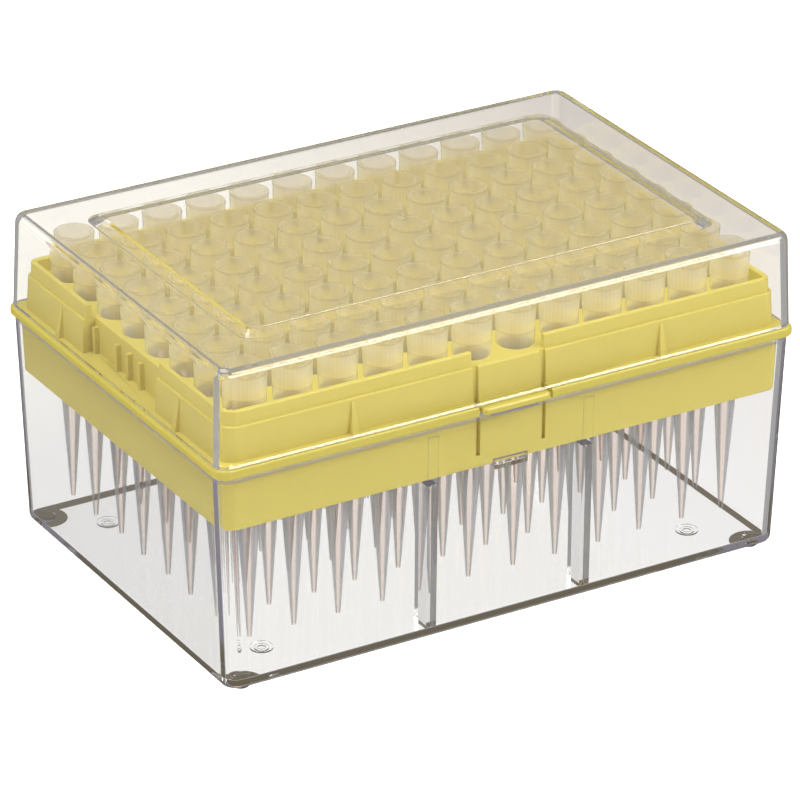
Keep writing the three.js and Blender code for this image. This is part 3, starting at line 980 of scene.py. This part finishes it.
def catch_ledge():
    """The bump that the latch's tongue snaps over."""
    top = SKIRT_BOTTOM + CATCH_RISE
    wall = MIDDLE_Y - base_inside(SKIRT_BOTTOM).y
    section = [(wall - ROOT, top), (wall - ROOT, top - CATCH_HEIGHT),
               (wall + CATCH_DEPTH, top - CATCH_HEIGHT / 2), (wall + CATCH_DEPTH, top)]
    return extruded(section, -CATCH_WIDTH / 2, CATCH_WIDTH / 2, 0)


FOOT_EDGE = 0.3
GATE_RING_RADIUS = 2.1
GATE_RING_BORE = 1.3
GATE_RING_HEIGHT = 0.3
GATE_HUB_BORE = 0.8
GATE_HUB_DROP = 0.3
GATE_RING_END_INSET = 12.5
GATE_RING_SIDE_INSET = 11.6


def feet_and_rings():
    """Four feet and four gate rings under the floor."""
    foot = [(0, 0), (FOOT_RADIUS - FOOT_EDGE, 0), (FOOT_RADIUS, FOOT_EDGE),
            (FOOT_RADIUS, FLOOR_TOP - BASE_FLOOR / 2), (0, FLOOR_TOP - BASE_FLOOR / 2)]
    low = FEET_HEIGHT - GATE_RING_HEIGHT
    high = FEET_HEIGHT + ROOT
    hub = low - GATE_HUB_DROP
    gate = [(0, low), (GATE_HUB_BORE, low), (GATE_HUB_BORE, hub), (GATE_RING_BORE, hub),
            (GATE_RING_BORE, low), (GATE_RING_RADIUS, low), (GATE_RING_RADIUS, high), (0, high)]
    return [turned(outline, ROUND_SIDES, side_x * (under.x - end_inset),
                   MIDDLE_Y + side_y * (under.y - side_inset))
            for side_x in (-1, 1) for side_y in (-1, 1)
            for outline, end_inset, side_inset in (
                (foot, FOOT_END_INSET, FOOT_SIDE_INSET),
                (gate, GATE_RING_END_INSET, GATE_RING_SIDE_INSET))]


RIM_NOTCH_WIDTH = 9.8
RIM_NOTCH_DEPTH = 0.8
OVER = 1.0      # how far a cutter reaches past what it cuts

base_body = combine(base_body, "UNION", [catch_ledge(), *wall_bands(), *feet_and_rings()])
notch = box_between(
    (-RIM_NOTCH_WIDTH / 2, MIDDLE_Y - base_rim.y - OVER, BASE_TOP - RIM_NOTCH_DEPTH),
    (RIM_NOTCH_WIDTH / 2, MIDDLE_Y - base_inside(BASE_TOP).y + OVER, BASE_TOP + OVER))
base_body = combine(base_body, "DIFFERENCE", [notch])
base_piece = finished("base_tray", base_body, clear)
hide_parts("base")
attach(base_piece, "base")
ribs_piece = finished("base_stiffeners", ribs_body, smoky)
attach(ribs_piece, "base")

# %% [markdown]
# The rack is one moulding: a skirt that drops into the base, a flange that rests on the base's
# rim and carries the lid, an upper wall, a plate with 96 holes and a rim round it. Its shell is
# one loft as well. The latch in front, the grip recess in the left end and the lid guides are
# joined on and cut out, in the order in which a toolmaker would cut them.

# %% Rack shell
UPPER_WALL_DRAFT = 0.3
RACK_WALL = 1.5
RACK_CORNER = 2.2
PLATE_THICKNESS = 1.4
GUIDE_ROOM = 1.15
RIM_HEIGHT = 2.7
RIM_INSET = 0.5
RIM_THICKNESS = 1.1
RIM_DRAFT = 0.1
FLANGE_EDGE = 0.4
FLANGE_TOP_EDGE = 0.75
FLANGE_CORNER = 2.5
SKIRT_GAP = 0.3
SKIRT_CORNER = 1.8
SOFT_EDGE = 0.3
CEILING_MARGIN = 5.0
PLATE_MARGIN = 2.0

RIM_TOP = PLATE_TOP + RIM_HEIGHT
flange = Vector((rack_high.x, rack_high.y - MIDDLE_Y))
upper_wall = lid_inside - Vector((GUIDE_ROOM, GUIDE_ROOM))


def rack_profile():
    inner = RACK_CORNER - RACK_WALL
    rim_by = UPPER_WALL_DRAFT + RIM_INSET
    rim_corner = RACK_CORNER - RIM_INSET
    tray_by = rim_by + RIM_THICKNESS
    tray_corner = rim_corner - RIM_THICKNESS
    skirt_low = base_inside(SKIRT_BOTTOM)
    skirt_high = base_inside(BASE_TOP)
    under_plate = PLATE_TOP - PLATE_THICKNESS
    return [
        (*shrunk(upper_wall, UPPER_WALL_DRAFT + RACK_WALL + CEILING_MARGIN, inner), under_plate, 0),
        (*shrunk(upper_wall, UPPER_WALL_DRAFT + RACK_WALL, inner), under_plate, SOFT_EDGE),
        (*shrunk(upper_wall, RACK_WALL, inner), FLANGE_TOP, 0),
        (*shrunk(skirt_low, SKIRT_GAP + RACK_WALL, inner), SKIRT_BOTTOM, SOFT_EDGE),
        (*shrunk(skirt_low, SKIRT_GAP, SKIRT_CORNER), SKIRT_BOTTOM, SOFT_EDGE),
        (*shrunk(skirt_high, SKIRT_GAP, SKIRT_CORNER), BASE_TOP, 0),
        (*shrunk(flange, 0, FLANGE_CORNER), BASE_TOP, FLANGE_EDGE),
        (*shrunk(flange, 0, FLANGE_CORNER), FLANGE_TOP, FLANGE_TOP_EDGE),
        (*shrunk(upper_wall, 0, RACK_CORNER), FLANGE_TOP, 0),
        (*shrunk(upper_wall, UPPER_WALL_DRAFT, RACK_CORNER), PLATE_TOP, SOFT_EDGE),
        (*shrunk(upper_wall, rim_by, rim_corner), PLATE_TOP, 0),
        (*shrunk(upper_wall, rim_by + RIM_DRAFT, rim_corner), RIM_TOP, SOFT_EDGE),
        (*shrunk(upper_wall, tray_by, tray_corner), RIM_TOP, SOFT_EDGE),
        (*shrunk(upper_wall, tray_by, tray_corner), PLATE_TOP, 0),
        (*shrunk(upper_wall, tray_by + PLATE_MARGIN, tray_corner), PLATE_TOP, 0),
    ]


rack_body = loft(rounded(rack_profile(), steps=3))
print("rack shell:", len(rack_body.faces), "faces")

# %% [markdown]
# Fingers lift the rack at its left end, where a shallow recess with upright ribs is let into
# the wall. A block behind the wall closes it, so that the pocket doesn't cut through.

# %% Grip recess and its ribs
RECESS_LENGTH = 27.2
RECESS_DEPTH = 2.3
RECESS_WALL = 1.0
GRIP_RIB_OFFSETS = (-12.6, -4.3, 0.0, 4.3, 12.6)
GRIP_RIB_WIDTH = 0.85
GRIP_RIB_DEPTH = 0.9
GRIP_RIB_DROP = 1.4

recess_face = -(upper_wall.x - UPPER_WALL_DRAFT)
recess_back = recess_face + RECESS_DEPTH
recess_half = RECESS_LENGTH / 2


def recess_backing():
    """The block behind the recess."""
    return box_between(
        (recess_face + ROOT, MIDDLE_Y - recess_half - RACK_WALL, BASE_TOP),
        (recess_back + RECESS_WALL, MIDDLE_Y + recess_half + RACK_WALL, PLATE_TOP - ROOT))


def recess_pocket():
    return box_between((-flange.x - OVER, MIDDLE_Y - recess_half, FLANGE_TOP),
                       (recess_back, MIDDLE_Y + recess_half, RIM_TOP + OVER))


def grip_ribs():
    return [box_between(
        (recess_back - GRIP_RIB_DEPTH, MIDDLE_Y + y - GRIP_RIB_WIDTH / 2, FLANGE_TOP - ROOT),
        (recess_back + ROOT, MIDDLE_Y + y + GRIP_RIB_WIDTH / 2, PLATE_TOP - GRIP_RIB_DROP))
        for y in GRIP_RIB_OFFSETS]


print(f"grip recess {RECESS_LENGTH} mm long with {len(GRIP_RIB_OFFSETS)} ribs")

# %% [markdown]
# Small ribs round the upper wall taper towards their tops. They centre the lid as it comes
# down, and leave its clear walls a little air.

# %% Lid guides
GUIDE_SIDE_OFFSET = 31.6
GUIDE_END_OFFSET = 21.8
GUIDE_WIDTH = 1.4
GUIDE_TAPER = 0.6
GUIDE_GAP = 0.15
GUIDE_TOP_DROP = 0.6
GUIDE_TOP_REACH = 0.15


def tapered(bar, axis, middle, top):
    """The bar, narrowed towards its top."""
    for vert in bar.verts:
        rise = (vert.co.z - FLANGE_TOP) / (top - FLANGE_TOP)
        vert.co[axis] = middle + (vert.co[axis] - middle) * (1 - GUIDE_TAPER * max(rise, 0))
    return bar


def guides():
    """Tapered ribs that centre the lid on the upper wall."""
    reach = GUIDE_ROOM - GUIDE_GAP
    top = PLATE_TOP - GUIDE_TOP_DROP
    root = -ROOT - UPPER_WALL_DRAFT
    outline = [(root, FLANGE_TOP - ROOT), (reach, FLANGE_TOP - ROOT), (reach, FLANGE_TOP),
               (GUIDE_TOP_REACH - UPPER_WALL_DRAFT, top), (root, top)]
    half = GUIDE_WIDTH / 2
    made = []
    for side in (-1, 1):
        for offset in (-GUIDE_SIDE_OFFSET, GUIDE_SIDE_OFFSET):
            section = [(MIDDLE_Y + side * (upper_wall.y + a), z) for a, z in outline]
            made.append(tapered(extruded(section, offset - half, offset + half, 0), 0, offset, top))
        for offset in (-GUIDE_END_OFFSET, GUIDE_END_OFFSET):
            section = [(side * (upper_wall.x + a), z) for a, z in outline]
            middle = MIDDLE_Y + offset
            made.append(tapered(extruded(section, middle - half, middle + half, 1), 1, middle, top))
    return made


print(f"lid guides leave {GUIDE_GAP} mm to the lid's wall")

# %% [markdown]
# The latch is a strip of the front wall that two slots set free, so that it can bend. Its
# tongue reaches below the rim and snaps over the base's bump, and its lip stands out through
# a break in the flange, where a thumb presses it.

# %% Latch
LATCH_WIDTH = 12.7
BLOCK_SLOT = 1.1
SLOT_DEPTH = 0.8
TONGUE_SLOT_DEPTH = 0.5
SLOT_BACK = 0.3
LIP_WIDTH = 13.8
LIP_THICKNESS = 1.3
LIP_CORNER = 0.9
LIP_EDGE = 0.4
LIP_DROP = 0.35
LIP_MARGIN_X, LIP_MARGIN_Y = 1.5, 0.5
FLANGE_BREAK = 0.6
TONGUE_SLOT = 0.8
TONGUE_BRIDGE = 2.3
TONGUE_WALL = 1.1
CATCH_CLEARANCE = 0.2
SLOT_BACK_LAP = 0.8
latch_half = LATCH_WIDTH / 2
wall_face = MIDDLE_Y - upper_wall.y
flange_front = MIDDLE_Y - flange.y
lip_front = rack_low.y


def latch_cuts():
    """What frees the latch from the flange, the rim and the wall."""
    break_half = max(LIP_WIDTH / 2, latch_half) + FLANGE_BREAK
    front = flange_front - OVER
    rim_back = wall_face + UPPER_WALL_DRAFT + RIM_INSET + RIM_THICKNESS + RIM_DRAFT
    cuts = [
        box_between((-latch_half - BLOCK_SLOT, front, PLATE_TOP),
                    (latch_half + BLOCK_SLOT, rim_back, RIM_TOP + OVER)),
        box_between((-break_half, front, BASE_TOP - OVER), (break_half, wall_face, FLANGE_TOP + OVER)),
    ]
    for side in (-1, 1):
        for width, depth, low, high in (
                (BLOCK_SLOT, SLOT_DEPTH, FLANGE_TOP, RIM_TOP + OVER),
                (TONGUE_SLOT, TONGUE_SLOT_DEPTH, SKIRT_BOTTOM + TONGUE_BRIDGE, FLANGE_TOP + ROOT)):
            ends = sorted((side * latch_half, side * (latch_half + width)))
            cuts.append(box_between((ends[0], front, low), (ends[1], wall_face + depth, high)))
    return cuts


def latch_joins():
    """The wall behind the lip and the lip itself."""
    skirt_face = MIDDLE_Y - (base_inside(BASE_TOP).y - SKIRT_GAP)
    lip_top = FLANGE_TOP - LIP_DROP
    lip_back = wall_face + TONGUE_WALL
    size = (LIP_WIDTH / 2, (lip_back - lip_front) / 2, LIP_CORNER)
    inner = (size[0] - LIP_MARGIN_X, size[1] - LIP_MARGIN_Y, LIP_CORNER - LIP_MARGIN_Y)
    lip = loft(rounded([
        (*inner, lip_top - LIP_THICKNESS, 0),
        (*size, lip_top - LIP_THICKNESS, LIP_EDGE),
        (*size, lip_top, LIP_EDGE),
        (*inner, lip_top, 0),
    ]), (lip_back + lip_front) / 2)
    bridge = box_between((-latch_half, skirt_face, SKIRT_BOTTOM + TONGUE_BRIDGE),
                         (latch_half, wall_face + TONGUE_WALL, FLANGE_TOP))
    return [bridge, lip]


def slot_backs():
    """Walls behind the block's slots, under the plate."""
    made = []
    inner, outer = latch_half - SLOT_BACK_LAP, latch_half + BLOCK_SLOT + SLOT_BACK_LAP
    for side in (-1, 1):
        ends = sorted((side * inner, side * outer))
        made.append(box_between((ends[0], wall_face + SLOT_DEPTH - SLOT_BACK / 2, FLANGE_TOP - ROOT),
                                (ends[1], wall_face + SLOT_DEPTH + SLOT_BACK, PLATE_TOP - ROOT)))
    return made


def catch_pocket():
    half = CATCH_WIDTH / 2 + CATCH_CLEARANCE
    return box_between(
        (-half, flange_front - OVER, SKIRT_BOTTOM - OVER),
        (half, MIDDLE_Y - base_inside(SKIRT_BOTTOM).y + CATCH_DEPTH + CATCH_CLEARANCE,
         SKIRT_BOTTOM + CATCH_RISE + CATCH_CLEARANCE))


print(f"latch {LATCH_WIDTH} mm wide, its lip stands {wall_face - lip_front:.2f} mm out of the wall")

# %% [markdown]
# The features go on and come off in the order in which a toolmaker would cut them, so that a
# later pocket also clears an earlier block. One cut at a time keeps the boolean robust.

# %% Put the rack together
SOFTENING = 0.18
rack_body = combine(rack_body, "UNION", [recess_backing(), *guides()])
rack_body = combine(rack_body, "DIFFERENCE", [recess_pocket()])
rack_body = combine(rack_body, "UNION", grip_ribs())
for cut in latch_cuts():
    rack_body = combine(rack_body, "DIFFERENCE", [cut])
for part in (*latch_joins(), *slot_backs()):
    rack_body = combine(rack_body, "UNION", [part])
rack_body = combine(rack_body, "DIFFERENCE", [catch_pocket()])
rack_body = softened(rack_body, SOFTENING)
print("rack with its features:", len(rack_body.faces), "faces")

# %% [markdown]
# Ninety-six holes are a rule, not a drawing, so Geometry Nodes lay a grid of points, put a
# cutter on each point and cut the plate with all of them at once. The same grid then carries
# the tips. Both trees share their named inputs, their grid and their ending, so a class
# builds these, and each tree only adds what it repeats.

# %% Geometry Nodes on the box's grid
class Repeat(Wiring):
    """A Geometry Nodes tree with named inputs, which repeats something over the box's grid."""

    GRID_INPUTS = {"Columns": "Int", "Rows": "Int", "Pitch": "Float", "Centre": "Vector",
                   "Finish": "Material"}

    def __init__(self, name, inputs):
        super().__init__(bpy.data.node_groups.new(name, "GeometryNodeTree"))
        socket = self.tree.interface.new_socket
        socket("Geometry", in_out="INPUT", socket_type="NodeSocketGeometry")
        socket("Geometry", in_out="OUTPUT", socket_type="NodeSocketGeometry")
        for title, kind in {**self.GRID_INPUTS, **inputs}.items():
            socket(title, in_out="INPUT", socket_type=f"NodeSocket{kind}")
        self.start = self.tree.nodes.new("NodeGroupInput")
        self.end = self.tree.nodes.new("NodeGroupOutput")

    def given(self, title):
        """One of the tree's named inputs."""
        return Output(self.tree, self.start.outputs[title])

    def copies(self, thing, **turn):
        """A real copy of a thing on each point of the grid."""
        columns, rows, pitch = self.given("Columns"), self.given("Rows"), self.given("Pitch")
        grid = self.node("GeometryNodeMeshGrid", vertices_x=columns, vertices_y=rows,
                         size_x=(columns - 1) * pitch, size_y=(rows - 1) * pitch)
        points = self.node("GeometryNodeTransform", geometry=grid, translation=self.given("Centre"))
        stood = self.node("GeometryNodeInstanceOnPoints", points=points, instance=thing, **turn)
        return self.node("GeometryNodeRealizeInstances", geometry=stood)

    def dress(self, geometry):
        """End the tree with this geometry in its finish."""
        dressed = self.node("GeometryNodeSetMaterial", geometry=geometry, material=self.given("Finish"))
        feed(self.tree, self.end.inputs["Geometry"], dressed)
        return self.tree


def set_inputs(modifier, values):
    """Set a modifier's inputs, found by name and set by identifier."""
    for item in modifier.node_group.interface.items_tree:
        if item.in_out == "INPUT" and item.name in values:
            modifier[item.identifier] = values[item.name]

# %% Cut the holes
NECK_RADIUS = 2.9
HOLE_CLEARANCE = 0.25
HOLE_SIDES = 24
CUTTER_THROUGH = 3      # how many plate thicknesses a cutter is long
GRID_X = FIRST_X + PITCH * (COLUMNS - 1) / 2


def hole_tree():
    holes = Repeat("plate_holes", {"Radius": "Float", "Depth": "Float"})
    cutter = holes.node("GeometryNodeMeshCylinder", vertices=HOLE_SIDES,
                        radius=holes.given("Radius"), depth=holes.given("Depth"))
    return holes.dress(holes.node(
        "GeometryNodeMeshBoolean", settings={"operation": "DIFFERENCE", "solver": "EXACT"},
        mesh_1=holes.given("Geometry"), mesh_2=holes.copies(cutter)))


def drilled(body):
    """The rack's body with all its holes."""
    bmesh.ops.remove_doubles(body, verts=body.verts, dist=MERGE_DISTANCE)
    blank = as_object("blank", body)
    drill = blank.modifiers.new("holes", "NODES")
    drill.node_group = hole_tree()
    set_inputs(drill, {
        "Columns": COLUMNS, "Rows": ROWS, "Pitch": PITCH, "Radius": NECK_RADIUS + HOLE_CLEARANCE,
        "Depth": PLATE_THICKNESS * CUTTER_THROUGH, "Finish": yellow,
        "Centre": (GRID_X, MIDDLE_Y, PLATE_TOP - PLATE_THICKNESS / 2),
    })
    return taken_from(blank)


rack_piece = finished("rack_shell", drilled(rack_body), yellow)
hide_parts("rack")
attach(rack_piece, "rack")

# %% [markdown]
# A tip is a long thin cone with a wider collar on top, turned about its own axis, with a bore
# all the way through. One tip is made once, with its plate seat at the origin. Its UV map says
# how far round and how far up each point lies, because its finish changes along the tip.

# %% One tip
COLLAR_TOP_RADIUS = 3.7
COLLAR_BASE_RADIUS = 3.45
COLLAR_BASE_ROUND = 0.2
COLLAR_BEAD = 0.08
BEND_RADIUS = 1.85
BEND_HEIGHT = 20.8
END_RADIUS = 0.42
END_ROUND = 0.08
MOUTH_RADIUS = 2.95
MOUTH_TAPER = 0.2
ORIFICE_RADIUS = 0.22
STEP_HEIGHT = 3.3
STEP_SLOPE = 0.3
WALL_BELOW = 0.55
TIP_SIDES = 32
LIP_ROUND = 0.15


def between(first, second, share):
    return first + (second - first) * share


def tip_profile():
    """Outside from the end up to the rim, then the bore back down."""
    end, bend = -BODY_LENGTH, BEND_HEIGHT - BODY_LENGTH
    bore_at_neck, bore_at_bend = NECK_RADIUS - WALL_BELOW, BEND_RADIUS - WALL_BELOW
    return [
        (ORIFICE_RADIUS, end),
        (END_RADIUS - 0.06, end),
        (END_RADIUS, end + END_ROUND),
        (between(END_RADIUS, BEND_RADIUS, 0.34), between(end, bend, 0.34)),
        (between(END_RADIUS, BEND_RADIUS, 0.67), between(end, bend, 0.67)),
        (BEND_RADIUS, bend),
        (between(BEND_RADIUS, NECK_RADIUS, 0.5), bend / 2),
        (NECK_RADIUS, 0.0),
        (COLLAR_BASE_RADIUS - COLLAR_BASE_ROUND, 0.0),
        (COLLAR_BASE_RADIUS, COLLAR_BASE_ROUND),
        (COLLAR_TOP_RADIUS - COLLAR_BEAD, COLLAR_HEIGHT - 0.5),
        (COLLAR_TOP_RADIUS, COLLAR_HEIGHT - 0.4),
        (COLLAR_TOP_RADIUS, COLLAR_HEIGHT - LIP_ROUND),
        (COLLAR_TOP_RADIUS - LIP_ROUND, COLLAR_HEIGHT),
        (MOUTH_RADIUS + LIP_ROUND, COLLAR_HEIGHT),
        (MOUTH_RADIUS, COLLAR_HEIGHT - LIP_ROUND),
        (MOUTH_RADIUS - MOUTH_TAPER, STEP_HEIGHT + STEP_SLOPE),
        (bore_at_neck, STEP_HEIGHT),
        (bore_at_neck, 0.0),
        (between(bore_at_bend, bore_at_neck, 0.5), bend / 2),
        (bore_at_bend, bend),
        (between(ORIFICE_RADIUS, bore_at_bend, 0.5), between(end, bend, 0.5)),
    ]


def tip_mesh():
    body = turned(tip_profile(), TIP_SIDES)
    layer = body.loops.layers.uv.new("around_and_along")
    for face in body.faces:
        centre = face.calc_center_median()
        middle = math.atan2(centre.y, centre.x)
        inside = centre.x * face.normal.x + centre.y * face.normal.y <= 0
        for loop in face.loops:
            angle = math.atan2(loop.vert.co.y, loop.vert.co.x)
            if angle - middle > math.pi:
                angle -= 2 * math.pi
            elif middle - angle > math.pi:
                angle += 2 * math.pi
            along = loop.vert.co.z / BODY_LENGTH
            loop[layer].uv = (angle / (2 * math.pi), along + 2 * INSIDE_MARK if inside else along)
    pattern = as_object("tip_pattern", body, MM)
    pattern.data.polygons.foreach_set("use_smooth", [True] * len(pattern.data.polygons))
    pattern.data.set_sharp_from_angle(angle=SHARP_ANGLE)
    print(f"one tip: {len(pattern.data.polygons)} faces, {BODY_LENGTH + COLLAR_HEIGHT:.1f} mm long")
    return pattern


tip_pattern = tip_mesh()

# %% [markdown]
# Geometry Nodes stand a copy of the tip in each hole, each turned and leaning a little, as
# loose tips do. The front rows and the rear rows are two meshes, each with a seed of its own.

# %% Stand the tips in the rack
TILT = math.radians(0.5)
LEAST_TURN, MOST_TURN = (-1, -1, -20), (1, 1, 20)      # in tilts, about x, y and z


def tip_tree():
    tips = Repeat("standing_tips", {"Tip": "Object", "Tilt": "Float", "Seed": "Int"})
    pattern = tips.node("GeometryNodeObjectInfo", output="Geometry", object=tips.given("Tip"))
    lean = tips.node("FunctionNodeRandomValue", settings={"data_type": "FLOAT_VECTOR"},
                     input_0=LEAST_TURN, input_1=MOST_TURN, seed=tips.given("Seed"))
    turn = tips.node("ShaderNodeVectorMath", settings={"operation": "SCALE"},
                     input_0=lean, scale=tips.given("Tilt"))
    return tips.dress(tips.copies(pattern, rotation=turn))


def standing_tips(name, first_row, count, seed):
    """The tips of some rows as one plain mesh."""
    carrier = bpy.data.objects.new(name, bpy.data.meshes.new(name))
    bpy.context.scene.collection.objects.link(carrier)
    modifier = carrier.modifiers.new("tips", "NODES")
    modifier.node_group = grid_tree
    centre_y = FIRST_Y + PITCH * (first_row + (count - 1) / 2)
    set_inputs(modifier, {
        "Columns": COLUMNS, "Rows": count, "Pitch": PITCH * MM, "Tip": tip_pattern, "Tilt": TILT,
        "Seed": seed, "Finish": frosted, "Centre": (GRID_X * MM, centre_y * MM, PLATE_TOP * MM),
    })
    mesh = evaluated_mesh(carrier)
    carrier.modifiers.clear()
    carrier.data = mesh
    report_closed(carrier)
    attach(carrier, "rack")
    return carrier


grid_tree = tip_tree()
front_tips = standing_tips("tips_front_rows", 0, LOOSE_ROWS, 3)
standing_tips("tips_rear_rows", LOOSE_ROWS, ROWS - LOOSE_ROWS, 8)
bpy.data.objects.remove(tip_pattern)
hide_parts(*[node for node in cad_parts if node.startswith("tip_")])
